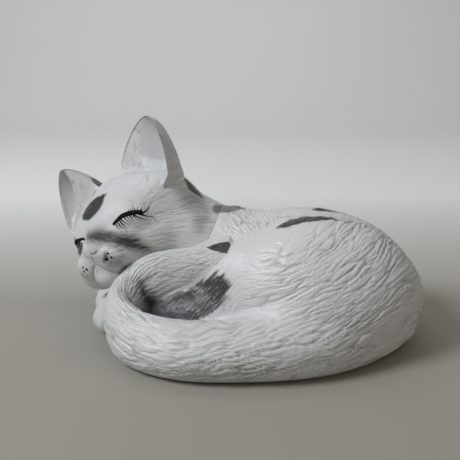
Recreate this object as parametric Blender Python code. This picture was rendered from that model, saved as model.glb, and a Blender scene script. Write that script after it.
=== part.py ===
"""Sleeping cat figurine: castings keyed and glued together on a felt pad.

Metres, +Z up. +X runs from the head towards the rump and +Y from the front towards the back.
The origin is the centre of the felt's underside, where the figurine stands.
"""
import bmesh
import bpy
import numpy as np

TAU = 2 * np.pi

# Joints: a glue line is left round every spigot and above the felt
GLUE_LINE = 0.0003
FELT_THICK = 0.0012
FELT_INSET = 0.0045
FELT_CONTACT = 0.003
BASE_PLANE = FELT_THICK + GLUE_LINE

# Torso: centres of the three masses and their sizes
BODY_CENTRE = (0.026, 0.015, 0.021)
BODY_LENGTH = 0.150
BODY_DEPTH = 0.100
BODY_TOP = 0.077
SHOULDER_CENTRE = (-0.022, 0.024, 0.036)
SHOULDER_LENGTH = 0.076
SHOULDER_DEPTH = 0.064
SHOULDER_TOP = 0.076
CHEST_CENTRE = (-0.060, 0.028, 0.018)
CHEST_LENGTH = 0.076
CHEST_DEPTH = 0.052
CHEST_TOP = 0.042
TORSO_SOFTNESS = 0.004
TORSO_MIDDLE = (0.011, 0.010)

# Haunch: thigh, knee and hind foot
THIGH_CENTRE = (0.034, -0.015, 0.031)
THIGH_LENGTH = 0.120
THIGH_DEPTH = 0.084
THIGH_TOP = 0.079
KNEE_CENTRE = (-0.006, -0.014, 0.020)
KNEE_LENGTH = 0.072
KNEE_DEPTH = 0.048
KNEE_TOP = 0.065
FOOT_CENTRE = (-0.038, -0.019, 0.006)
FOOT_LENGTH = 0.072
FOOT_DEPTH = 0.038
FOOT_TOP = 0.037
HAUNCH_SOFTNESS = 0.004
HAUNCH_MIDDLE = (0.020, -0.015)

# Tail: route points are x, y and the lift of the lower side; girths are shares of the thickest place,
# and slims are each section's width over its height
TAIL_THICK = 0.039
TAIL_SINK = 0.22
TAIL_ROUTE = (
    (0.084, 0.001, 0.0072),
    (0.074, -0.018, 0.0026),
    (0.050, -0.037, 0.0003),
    (0.020, -0.0497, 0.0),
    (-0.014, -0.0540, 0.0),
    (-0.046, -0.0530, 0.0),
    (-0.0705, -0.0444, 0.0008),
    (-0.0840, -0.0325, 0.0035),
    (-0.0855, -0.0240, 0.0100),
    (-0.0765, -0.0175, 0.0200),
    (-0.0620, -0.0145, 0.0272),
    (-0.0480, -0.0130, 0.0318),
    (-0.0350, -0.0125, 0.0385),
    (-0.0215, -0.0135, 0.0475),
)
TAIL_GIRTH = (0.87, 0.97, 1.00, 0.97, 0.89, 0.83, 0.83, 0.91, 0.95, 0.93, 0.87, 0.77, 0.62, 0.42)
TAIL_SLIM = (1.0, 1.0, 1.0, 1.06, 1.12, 1.12, 0.89, 0.56, 0.45, 0.46, 0.50, 0.58, 0.72, 1.0)

# Head: its place, how it is turned, and its masses as right, forward and up from its centre
HEAD_CENTRE = (-0.084, 0.023, 0.0605)
HEAD_TURN = 33.0
HEAD_TIP = -12.0
HEAD_ROLL = 27.5
CRANIUM_CENTRE = (0.0, -0.0092, 0.0046)
CRANIUM_WIDTH = 0.0666
CRANIUM_LENGTH = 0.0642
CRANIUM_HEIGHT = 0.0615
FACE_CENTRE = (0.0, 0.0092, -0.0034)
FACE_WIDTH = 0.0458
FACE_LENGTH = 0.0436
FACE_HEIGHT = 0.0390
CHEEK_CENTRE = (0.0189, 0.0023, -0.0115)
CHEEK_SIZE = (0.0310, 0.0390, 0.0298)
BROW_CENTRE = (0.0130, 0.0138, 0.0069)
BROW_SIZE = (0.0270, 0.0252, 0.0206)
LID_CENTRE = (0.0189, 0.0195, 0.0017)
LID_SIZE = (0.0196, 0.0160, 0.0150)
BRIDGE_CENTRE = (0.0, 0.0220, -0.0012)
BRIDGE_SIZE = (0.0190, 0.0320, 0.0190)
MUZZLE_CENTRE = (0.0, 0.0264, -0.0138)
MUZZLE_WIDTH = 0.0276
MUZZLE_LENGTH = 0.0276
MUZZLE_HEIGHT = 0.0218
JOWL_CENTRE = (0.0125, 0.0255, -0.0085)
JOWL_SIZE = (0.0190, 0.0190, 0.0170)
PAD_CENTRE = (0.0087, 0.0344, -0.0178)
PAD_SIZE = (0.0172, 0.0166, 0.0154)
CHIN_CENTRE = (0.0, 0.0298, -0.0278)
CHIN_SIZE = (0.0172, 0.0172, 0.0128)
JAW_CENTRE = (0.0150, 0.0195, -0.0180)
JAW_SIZE = (0.0190, 0.0260, 0.0170)
THROAT_CENTRE = (0.0150, 0.0220, -0.0210)
THROAT_SIZE = (0.0220, 0.0240, 0.0230)
NOSE_CENTRE = (0.0, 0.0408, -0.0104)
NOSE_SIZE = (0.0116, 0.0078, 0.0096)
SKULL_SOFTNESS = 0.0040
FACE_SOFTNESS = 0.0021

# Mounds of fur that rise round the ears' roots
LEFT_MOUND_CENTRE = (-0.0240, -0.0070, 0.0165)
RIGHT_MOUND_CENTRE = (0.0275, -0.0060, 0.0130)
MOUND_SIZE = (0.0360, 0.0370, 0.0290)
FORELOCK_CENTRE = (0.0050, -0.0030, 0.0250)
FORELOCK_SIZE = (0.0300, 0.0280, 0.0230)

# Neck: the spigot that carries the head in the shoulder
NECK_CENTRE = (-0.046, 0.027, 0.053)
NECK_LENGTH = 0.068
NECK_DEPTH = 0.060
NECK_HEIGHT = 0.058
NAPE_CENTRE = (-0.0545, 0.025, 0.0785)
NAPE_SIZE = (0.026, 0.030, 0.026)

# Ears: cupped shells rooted in the skull, leaning out and a little forward
LEFT_EAR_ROOT = (-0.0194, 0.0, 0.0268)
RIGHT_EAR_ROOT = (0.0324, 0.0017, 0.0176)
EAR_HEIGHT = 0.0415
EAR_WIDTH = 0.0565
EAR_CUP = 0.0280
EAR_WALL = 0.0045
EAR_ROOT_DEPTH = 0.0120
EAR_ROOT_TAPER = 0.55
EAR_FLARE = 0.0080
LEFT_EAR_SPLAY = -27.8
RIGHT_EAR_SPLAY = 15.0
EAR_PITCH = 5.5
LEFT_EAR_FACING = 19.0
RIGHT_EAR_FACING = 16.7

# Forepaws: wrist and toes, lying under the chin
LEFT_PAW = (-0.0905, 0.002, 0.0135)
RIGHT_PAW = (-0.095, 0.031, 0.0125)
PAW_LENGTH = 0.030
PAW_WIDTH = 0.026
PAW_TOP = 0.0275
FOREARM_LENGTH = 0.048
FOREARM_REACH = 0.020
TOE_WIDTH = 0.0085
PAW_SOFTNESS = 0.0015

# Paint and cloth as sRGB
WHITE = "#E4E3DE"
WARM_WHITE = "#DEDCD6"
GREY_WHITE = "#C9C8C4"
FELT_DARK = "#2B2927"


def vector(*values):
    return np.array(values, float)


def unit(values):
    return np.asarray(values, float) / np.linalg.norm(values)


def mirrored(centre, side):
    return vector(side * centre[0], centre[1], centre[2])


def mass(centre, length, depth, top):
    """A mass of the figure: its centre and half sizes, its top being a height above the table."""
    return vector(*centre), vector(length / 2, depth / 2, top - centre[2])


def ellipsoid(points, centre, half):
    """Approximate distance from points to the ellipsoid's surface, negative inside."""
    offset = (points - centre) / half
    near = np.linalg.norm(offset, axis=-1)
    slope = np.linalg.norm(offset / half, axis=-1) + 1e-9
    return near * (near - 1) / slope


def blend(distances, softness):
    """Soft union of distances: the logarithm of the sum of their exponentials."""
    least = np.min(distances, axis=0)
    total = sum(np.exp((least - distance) / softness) for distance in distances)
    return least - softness * np.log(total)


def blended(masses, softness):
    return lambda points: blend([ellipsoid(points, *m) for m in masses], softness)


def reach(centre, directions, field, longest=0.2):
    """Where each ray from the centre leaves the field, by halving."""
    low = np.zeros(directions.shape[:-1])
    high = np.full(directions.shape[:-1], longest)
    for _ in range(32):
        middle = (low + high) / 2
        inside = field(centre + directions * middle[..., None]) < 0
        low = np.where(inside, middle, low)
        high = np.where(inside, high, middle)
    return centre + directions * low[..., None]


def head_axes():
    """Right, forward and up of the head after its turn, tip and roll."""
    turn, tip, roll = np.radians([HEAD_TURN, HEAD_TIP, HEAD_ROLL])
    ahead = vector(-np.sin(turn), -np.cos(turn), 0)
    above = vector(0, 0, 1)
    right = np.cross(ahead, above)
    forward = ahead * np.cos(tip) - above * np.sin(tip)
    up = above * np.cos(tip) + ahead * np.sin(tip)
    return np.stack([right * np.cos(roll) - up * np.sin(roll), forward,
                     up * np.cos(roll) + right * np.sin(roll)])


def head_to_figure(points):
    return vector(*HEAD_CENTRE) + np.asarray(points, float) @ head_axes()


def torso_masses():
    return [mass(BODY_CENTRE, BODY_LENGTH, BODY_DEPTH, BODY_TOP),
            mass(SHOULDER_CENTRE, SHOULDER_LENGTH, SHOULDER_DEPTH, SHOULDER_TOP),
            mass(CHEST_CENTRE, CHEST_LENGTH, CHEST_DEPTH, CHEST_TOP)]


def haunch_masses():
    return [mass(THIGH_CENTRE, THIGH_LENGTH, THIGH_DEPTH, THIGH_TOP),
            mass(KNEE_CENTRE, KNEE_LENGTH, KNEE_DEPTH, KNEE_TOP),
            mass(FOOT_CENTRE, FOOT_LENGTH, FOOT_DEPTH, FOOT_TOP)]


def paw_masses(place):
    """Wrist, forearm behind it and four toes in an arc at its front."""
    place = vector(*place)
    wrist = (place, vector(PAW_LENGTH / 2, PAW_WIDTH / 2, PAW_TOP - place[2]))
    forearm = (place + vector(FOREARM_REACH, 0.004, 0), vector(FOREARM_LENGTH / 2, PAW_WIDTH / 2, PAW_TOP - place[2]))
    masses = [wrist, forearm]
    for turn in np.radians([-48, -16, 16, 48]):
        toe = vector(-np.cos(turn) * PAW_LENGTH * 0.40, np.sin(turn) * PAW_WIDTH * 0.42, -PAW_TOP * 0.18)
        masses.append((place + toe, vector(TOE_WIDTH * 0.62, TOE_WIDTH / 2, TOE_WIDTH * 0.75)))
    return masses


def head_field(points):
    """Skull, neck and face masses, softly joined; the finer face keeps crisper joins."""
    local = (points - vector(*HEAD_CENTRE)) @ head_axes().T
    half = lambda *sizes: vector(*sizes) / 2
    skull = [ellipsoid(local, vector(*CRANIUM_CENTRE), half(CRANIUM_WIDTH, CRANIUM_LENGTH, CRANIUM_HEIGHT)),
             ellipsoid(local, vector(*FACE_CENTRE), half(FACE_WIDTH, FACE_LENGTH, FACE_HEIGHT)),
             ellipsoid(local, vector(*LEFT_MOUND_CENTRE), half(*MOUND_SIZE)),
             ellipsoid(local, vector(*RIGHT_MOUND_CENTRE), half(*MOUND_SIZE)),
             ellipsoid(local, vector(*FORELOCK_CENTRE), half(*FORELOCK_SIZE)),
             ellipsoid(points, vector(*NECK_CENTRE), half(NECK_LENGTH, NECK_DEPTH, NECK_HEIGHT)),
             ellipsoid(points, vector(*NAPE_CENTRE), half(*NAPE_SIZE))]
    face = [ellipsoid(local, vector(*MUZZLE_CENTRE), half(MUZZLE_WIDTH, MUZZLE_LENGTH, MUZZLE_HEIGHT)),
            ellipsoid(local, vector(*BRIDGE_CENTRE), half(*BRIDGE_SIZE)),
            ellipsoid(local, vector(*CHIN_CENTRE), half(*CHIN_SIZE)),
            ellipsoid(local, vector(*THROAT_CENTRE), half(*THROAT_SIZE)),
            ellipsoid(local, vector(*NOSE_CENTRE), half(*NOSE_SIZE))]
    for side in (-1, 1):
        skull.append(ellipsoid(local, mirrored(CHEEK_CENTRE, side), half(*CHEEK_SIZE)))
        skull.append(ellipsoid(local, mirrored(BROW_CENTRE, side), half(*BROW_SIZE)))
        face.append(ellipsoid(local, mirrored(JOWL_CENTRE, side), half(*JOWL_SIZE)))
        face.append(ellipsoid(local, mirrored(JAW_CENTRE, side), half(*JAW_SIZE)))
        face.append(ellipsoid(local, mirrored(PAD_CENTRE, side), half(*PAD_SIZE)))
        face.append(ellipsoid(local, mirrored(LID_CENTRE, side), half(*LID_SIZE)))
    return blend([blend(skull, SKULL_SOFTNESS)] + face, FACE_SOFTNESS)


def dome(field, centre, around, rings):
    """A mass that stands on the base plane: azimuth by elevation about a centre on that plane."""
    azimuth = np.linspace(0, TAU, around, endpoint=False)[None, :]
    elevation = np.linspace(0, np.pi / 2, rings + 1)[:-1, None]
    directions = np.stack([np.cos(azimuth) * np.cos(elevation), np.sin(azimuth) * np.cos(elevation),
                           np.sin(elevation) + 0 * azimuth], -1)
    middle = vector(*centre[:2], BASE_PLANE)
    crown = reach(middle, vector(0, 0, 1)[None], field)
    return reach(middle, directions, field), None, crown[0]


def skull(around, rings):
    """The head about its centre: rings from the nape to the nose."""
    angle = np.linspace(0, TAU, around, endpoint=False)[None, :]
    polar = np.linspace(np.pi, 0, rings + 2)[1:-1, None]
    local = np.stack([np.sin(polar) * np.cos(angle), np.cos(polar) + 0 * angle, np.sin(polar) * np.sin(angle)], -1)
    axes = head_axes()
    centre = vector(*HEAD_CENTRE)
    poles = reach(centre, np.stack([-axes[1], axes[1]]), head_field)
    return reach(centre, local @ axes, head_field), poles[0], poles[1]


def curve(points, steps):
    """A smooth curve through the points: uniform Catmull-Rom, read at even parameters."""
    points = np.asarray(points, float)
    points = np.vstack([2 * points[0] - points[1], points, 2 * points[-1] - points[-2]])
    place = np.linspace(0, len(points) - 3 - 1e-9, steps)
    first = place.astype(int)
    share = (place - first)[:, None]
    a, b, c, d = (points[first + i] for i in range(4))
    return 0.5 * (2 * b + (c - a) * share + (2 * a - 5 * b + 4 * c - d) * share ** 2
                  + (3 * b - a - 3 * c + d) * share ** 3)


def tail_line(steps):
    """Centre line, half height and half width of the tail; its lying stretch is sunk into the base plane."""
    route = curve(np.column_stack([TAIL_ROUTE, TAIL_GIRTH, TAIL_SLIM]), steps)
    tall = route[:, 3] * TAIL_THICK / 2
    height = BASE_PLANE + tall * (1 - TAIL_SINK) + route[:, 2]
    return np.column_stack([route[:, :2], height]), tall, tall * route[:, 4]


def tail_rings(around, steps):
    """An upright oval section carried along the tail and cut flat by the base plane."""
    line, tall, wide = tail_line(steps)
    along = np.gradient(line, axis=0)
    along /= np.linalg.norm(along, axis=1, keepdims=True)
    side = np.cross(along, vector(0, 0, 1))
    side /= np.linalg.norm(side, axis=1, keepdims=True)
    angle = np.linspace(0, TAU, around, endpoint=False)[None, :, None]
    rings = line[:, None] + wide[:, None, None] * np.cos(angle) * side[:, None]
    rings[..., 2] += tall[:, None] * np.sin(angle[..., 0])
    rings[..., 2] = np.maximum(rings[..., 2], BASE_PLANE)
    return rings, line[0] - along[0] * wide[0] * 0.5, line[-1] + along[-1] * wide[-1] * 0.8


def ear_rings(root, splay, facing, around, rings):
    """A cupped shell: crescent sections from the root to the rounded tip."""
    splay, pitch, turn = np.radians([splay, EAR_PITCH, facing])
    axis = unit([np.tan(splay), np.tan(pitch), 1])
    front = vector(np.sin(turn), np.cos(turn), 0)
    front = unit(front - axis * (front @ axis))
    across = np.cross(front, axis)
    height = np.linspace(-EAR_ROOT_DEPTH / EAR_HEIGHT, 0.985, rings)[:, None]
    share = np.clip(height, 0, 1)
    angle = np.linspace(0, TAU, around, endpoint=False)[None, :]
    sunk = np.clip((EAR_FLARE - height * EAR_HEIGHT) / (EAR_FLARE + EAR_ROOT_DEPTH), 0, 1)
    half = EAR_WIDTH / 2 * (1 - share ** 1.6) ** 0.64 * (1 - EAR_ROOT_TAPER * sunk)
    cup = EAR_CUP * (1 - share) ** 0.48 * (1 - EAR_ROOT_TAPER * sunk)
    wall = EAR_WALL * (1 - 0.5 * share) * np.minimum(1, half / 0.006)
    x = half * np.cos(angle)
    y = -cup * np.sin(angle) ** 2 + wall / 2 * np.sign(np.sin(angle)) * np.abs(np.sin(angle)) ** 0.6
    z = height * EAR_HEIGHT + 0 * angle
    place = lambda x, y, z: head_to_figure(vector(*root) + x[..., None] * across + y[..., None] * front
                                           + z[..., None] * axis)
    ends = place(vector(0, 0), vector(-EAR_CUP, 0), vector(-EAR_ROOT_DEPTH, EAR_HEIGHT))
    return place(x, y, z), ends[0], ends[1]


def colour(text):
    """Linear colour from an sRGB hex text."""
    srgb = [int(text[i:i + 2], 16) / 255 for i in (1, 3, 5)]
    return [c / 12.92 if c <= 0.04045 else ((c + 0.055) / 1.055) ** 2.4 for c in srgb] + [1]


def material(name, paint, roughness):
    made = bpy.data.materials.new(name)
    made.use_nodes = True
    shader = made.node_tree.nodes["Principled BSDF"]
    shader.inputs["Base Color"].default_value = colour(paint)
    shader.inputs["Roughness"].default_value = roughness
    shader.inputs["Metallic"].default_value = 0.0
    return made


def add_object(name, mesh):
    made = bpy.data.objects.new(name, mesh)
    bpy.context.scene.collection.objects.link(made)
    return made


def lofted(name, rings, start, end):
    """A closed object through rings of points, ended by a point or, without one, by a flat face."""
    count, around = rings.shape[:2]
    shape = bmesh.new()
    loops = [[shape.verts.new(point) for point in ring] for ring in rings]
    for low, high in zip(loops, loops[1:]):
        for i in range(around):
            j = (i + 1) % around
            shape.faces.new([low[i], low[j], high[j], high[i]])
    for loop, point in ((loops[0], start), (loops[-1], end)):
        if point is None:
            shape.faces.new(loop)
            continue
        tip = shape.verts.new(point)
        for i in range(around):
            shape.faces.new([loop[i], loop[(i + 1) % around], tip])
    bmesh.ops.recalc_face_normals(shape, faces=shape.faces)
    bmesh.ops.triangulate(shape, faces=shape.faces)
    mesh = bpy.data.meshes.new(name)
    shape.to_mesh(mesh)
    shape.free()
    return add_object(name, mesh)


def grown(piece):
    """A copy of the piece, larger all round by the glue line: the socket that it needs."""
    mesh = piece.data.copy()
    points = np.empty(len(mesh.vertices) * 3)
    normals = np.empty(len(mesh.vertices) * 3)
    mesh.vertices.foreach_get("co", points)
    mesh.vertices.foreach_get("normal", normals)
    mesh.vertices.foreach_set("co", points + normals * GLUE_LINE)
    mesh.update()
    socket = add_object(piece.name + "_socket", mesh)
    socket.hide_render = True
    socket.display_type = "WIRE"
    return socket


def keep_largest(mesh):
    """Drop the slivers that a socket leaves beside the casting."""
    shape = bmesh.new()
    shape.from_mesh(mesh)
    left = set(shape.verts)
    bodies = []
    while left:
        seed = left.pop()
        body = {seed}
        front = [seed]
        while front:
            for edge in front.pop().link_edges:
                for vertex in edge.verts:
                    if vertex in left:
                        left.remove(vertex)
                        body.add(vertex)
                        front.append(vertex)
        bodies.append(body)
    bodies.sort(key=len)
    for body in bodies[:-1]:
        bmesh.ops.delete(shape, geom=list(body), context="VERTS")
    shape.to_mesh(mesh)
    shape.free()


def seat(piece, sockets):
    """Cut the sockets out of the piece and keep its main body."""
    for socket in sockets:
        cut = piece.modifiers.new(socket.name, "BOOLEAN")
        cut.operation = "DIFFERENCE"
        cut.solver = "EXACT"
        cut.object = socket
    bpy.context.view_layer.update()
    cutaway = bpy.data.meshes.new_from_object(piece.evaluated_get(bpy.context.evaluated_depsgraph_get()))
    piece.modifiers.clear()
    keep_largest(cutaway)
    piece.data = cutaway


def felt_outline(castings, count):
    """The castings' outline on the base plane, drawn in by the felt's inset."""
    points = np.vstack([[v.co[:2] for v in piece.data.vertices if v.co.z < BASE_PLANE + FELT_CONTACT]
                        for piece in castings])
    radius = np.linalg.norm(points, axis=1)
    bearing = np.arctan2(points[:, 1], points[:, 0])
    azimuth = np.linspace(0, TAU, count, endpoint=False)
    apart = np.abs((azimuth[:, None] - bearing + np.pi) % TAU - np.pi)
    reached = np.max(np.where(apart < np.radians(5), radius * np.cos(apart), 0), axis=1)
    smooth = sum(np.roll(reached, shift) for shift in range(-2, 3)) / 5 - FELT_INSET
    return np.column_stack([smooth * np.cos(azimuth), smooth * np.sin(azimuth)])


def build():
    for old in list(bpy.data.objects):
        bpy.data.objects.remove(old)
    torso = lofted("torso", *dome(blended(torso_masses(), TORSO_SOFTNESS), TORSO_MIDDLE, 48, 14))
    haunch = lofted("haunch", *dome(blended(haunch_masses(), HAUNCH_SOFTNESS), HAUNCH_MIDDLE, 40, 12))
    tail = lofted("tail", *tail_rings(16, 56))
    head = lofted("head", *skull(40, 28))
    left_ear = lofted("left_ear", *ear_rings(LEFT_EAR_ROOT, LEFT_EAR_SPLAY, LEFT_EAR_FACING, 22, 12))
    right_ear = lofted("right_ear", *ear_rings(RIGHT_EAR_ROOT, RIGHT_EAR_SPLAY, RIGHT_EAR_FACING, 22, 12))
    left_paw = lofted("left_forepaw", *dome(blended(paw_masses(LEFT_PAW), PAW_SOFTNESS), LEFT_PAW, 32, 9))
    right_paw = lofted("right_forepaw", *dome(blended(paw_masses(RIGHT_PAW), PAW_SOFTNESS), RIGHT_PAW, 32, 9))
    standing = [torso, haunch, tail, left_paw, right_paw]
    outline = felt_outline(standing, 72)
    felt = lofted("felt_pad", np.stack([np.column_stack([outline, np.full(len(outline), height)])
                                        for height in (0.0, FELT_THICK)]), None, None)
    sockets = {piece.name: grown(piece) for piece in (haunch, tail, head, left_ear, right_ear, left_paw, right_paw)}
    seat(torso, [sockets[n] for n in ("head", "haunch", "tail", "left_forepaw", "right_forepaw")])
    seat(haunch, [sockets["tail"]])
    seat(left_paw, [sockets[n] for n in ("tail", "head", "haunch")])
    seat(right_paw, [sockets[n] for n in ("tail", "head", "left_forepaw")])
    seat(head, [sockets[n] for n in ("tail", "left_ear", "right_ear")])
    for socket in sockets.values():
        bpy.data.objects.remove(socket)
    looks = {torso: (WHITE, 0.45), haunch: (WHITE, 0.45), tail: (WARM_WHITE, 0.45), head: (WHITE, 0.45),
             left_ear: (GREY_WHITE, 0.45), right_ear: (GREY_WHITE, 0.45), left_paw: (WHITE, 0.45),
             right_paw: (WHITE, 0.45), felt: (FELT_DARK, 0.95)}
    for piece, look in looks.items():
        piece.data.materials.clear()
        piece.data.materials.append(material(piece.name + "_paint", *look))
        if piece is not felt:
            piece.data.shade_smooth()


build()
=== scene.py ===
"""The sleeping cat figurine, dressed: carved fur, painted marks and felt in place of the plain solids.

Lengths are millimetres in the part's own frame until a mesh is made. The main forms repeat the solids'
formulas at a finer step, and the fur is carved into them along each piece's own hair direction.
"""

import bpy
import numpy as np
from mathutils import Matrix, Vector


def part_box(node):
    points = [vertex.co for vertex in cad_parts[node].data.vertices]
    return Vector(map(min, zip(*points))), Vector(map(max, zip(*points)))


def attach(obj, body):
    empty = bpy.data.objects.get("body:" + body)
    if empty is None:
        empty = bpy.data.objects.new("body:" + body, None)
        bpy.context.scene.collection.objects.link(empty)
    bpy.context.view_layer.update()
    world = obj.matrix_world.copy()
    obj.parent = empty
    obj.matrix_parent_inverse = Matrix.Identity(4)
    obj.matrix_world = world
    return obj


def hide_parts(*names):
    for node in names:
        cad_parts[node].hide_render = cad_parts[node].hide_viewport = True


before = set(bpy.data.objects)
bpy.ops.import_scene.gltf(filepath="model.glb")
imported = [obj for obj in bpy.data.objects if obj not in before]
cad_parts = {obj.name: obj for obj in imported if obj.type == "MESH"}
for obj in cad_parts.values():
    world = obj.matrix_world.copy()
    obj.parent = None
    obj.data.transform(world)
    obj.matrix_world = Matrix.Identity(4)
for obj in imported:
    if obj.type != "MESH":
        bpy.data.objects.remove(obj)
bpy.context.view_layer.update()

MM = 0.001
TAU = 2 * np.pi
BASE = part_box("torso")[0][2] / MM

# Masses of the body: centre and half sizes
TORSO_MASSES = (((26, 15, 21), (75, 50, 56)), ((-22, 24, 36), (38, 32, 40)), ((-60, 28, 18), (38, 26, 24)))
HAUNCH_MASSES = (((34, -15, 31), (60, 42, 48)), ((-6, -14, 20), (36, 24, 45)), ((-38, -19, 6), (36, 19, 31)))
BODY_SOFTNESS = 4.0

# Tail: x, y, lift of the lower side, girth as a share of the thickest place, and width over height
TAIL_THICK = 39.0
TAIL_SINK = 0.22
TAIL_ROUTE = ((84, 1, 7.2, 0.87, 1), (74, -18, 2.6, 0.97, 1), (50, -37, 0.3, 1.0, 1),
              (20, -49.7, 0, 0.97, 1.06), (-14, -54, 0, 0.89, 1.12), (-46, -53, 0, 0.83, 1.12),
              (-70.5, -44.4, 0.8, 0.83, 0.89), (-84, -32.5, 3.5, 0.91, 0.56), (-85.5, -24, 10, 0.95, 0.45),
              (-76.5, -17.5, 20, 0.93, 0.46), (-62, -14.5, 27.2, 0.87, 0.50), (-48, -13, 31.8, 0.77, 0.58),
              (-35, -12.5, 38.5, 0.62, 0.72), (-21.5, -13.5, 47.5, 0.42, 1))
# Sections of the tail's field: how many, how sharply they blend per millimetre, how many count at a point
TAIL_SECTION_COUNT = 160
TAIL_SECTION_BLEND = 3.0
TAIL_SECTIONS_MET = 2.5

# Head: place, turn, tip and roll, then masses as right, forward and up of its centre
HEAD_CENTRE = (-84, 23, 60.5)
HEAD_ANGLES = (33.0, -12.0, 27.5)
SKULL_MASSES = (((0, -9.2, 4.6), (33.3, 32.1, 30.75)), ((0, 9.2, -3.4), (22.9, 21.8, 19.5)),
                ((-24, -7, 16.5), (18, 18.5, 14.5)), ((27.5, -6, 13), (18, 18.5, 14.5)),
                ((-18.9, 2.3, -11.5), (15.5, 19.5, 14.9)), ((18.9, 2.3, -11.5), (15.5, 19.5, 14.9)),
                ((-13, 13.8, 6.9), (13.5, 12.6, 10.3)), ((13, 13.8, 6.9), (13.5, 12.6, 10.3)),
                ((5, -3, 25), (15, 14, 11.5)))
FACE_MASSES = (((0, 26.4, -13.8), (13.8, 13.8, 10.9)), ((0, 22, -1.2), (9.5, 16, 9.5)),
               ((0, 29.8, -27.8), (8.6, 8.6, 6.4)), ((-1.3, 40.4, -9.9), (6.6, 4.4, 5.7)),
               ((-12.5, 25.5, -8.5), (9.5, 9.5, 8.5)), ((12.5, 25.5, -8.5), (9.5, 9.5, 8.5)),
               ((-8.7, 34.4, -17.8), (8.6, 8.3, 7.7)), ((8.7, 34.4, -17.8), (8.6, 8.3, 7.7)),
               ((-18.9, 19.5, 1.7), (9.8, 8, 7.5)), ((18.9, 19.5, 1.7), (9.8, 8, 7.5)),
               ((-15, 19.5, -18), (9.5, 13, 8.5)), ((15, 19.5, -18), (9.5, 13, 8.5)),
               ((15, 22, -21), (11, 12, 11.5)))
NECK_MASSES = (((-46, 27, 53), (34, 30, 29)), ((-54.5, 25, 78.5), (13, 15, 13)))
SKULL_SOFTNESS = 4.0
FACE_SOFTNESS = 2.1

# Ears: root in the head's frame, lean outwards, the way the cup faces, and the bowl: its inner edge at the
# root, the shift of that edge at the tip, the height where it is fully deep, and its depth
EAR_PLACES = {"left_ear": ((-19.4, 0, 26.8), -27.8, 19.0, (-0.5, 0.5, 0.36, 0.70)),
              "right_ear": ((32.4, 1.7, 17.6), 15.0, 16.7, (0.55, 1.45, 0.8, 0.48))}
EAR_PITCH = 5.5
EAR_HEIGHT = 41.5
EAR_WIDTH = 56.5
EAR_CUP = 28.0
EAR_WALL = 4.5
EAR_ROOT_DEPTH = 12.0
EAR_ROOT_TAPER = 0.55
EAR_FLARE = 8.0

# Forepaws: centre of the wrist, and sizes shared by both
PAW_PLACES = {"left_forepaw": (-90.5, 2, 13.5), "right_forepaw": (-95, 31, 12.5)}
PAW_LENGTH = 30.0
PAW_WIDTH = 26.0
PAW_TOP = 27.5
FOREARM_LENGTH = 48.0
FOREARM_REACH = 20.0
TOE_WIDTH = 8.5

# Carved hair: length and width of a lock, its scatter, and how much it waves
HAIR = {"rump": (21, 2.9, 7, 0.8), "back": (14, 3.2, 6, 1.0), "shoulder": (9, 2.4, 3, 0.5),
        "tail": (20, 3.2, 17, 1.0), "tail_bend": (24, 4.2, 37, 1.4), "head": (11, 1.9, 23, 0.5),
        "ear": (10, 2.6, 31, 1.0)}
# Height on a lock, groove 0 to crest 1, that lies on the casting's own form
CREST_LEVEL = 0.8

# The side the marks were brushed from, and the way up as seen from there
BRUSH_SIDE = (0, 0.956, -0.292)
BRUSH_UP = (0, 0.292, 0.956)
# Share of a distance along the brush that is left out
BRUSH_FLAT = 0.92

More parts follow.
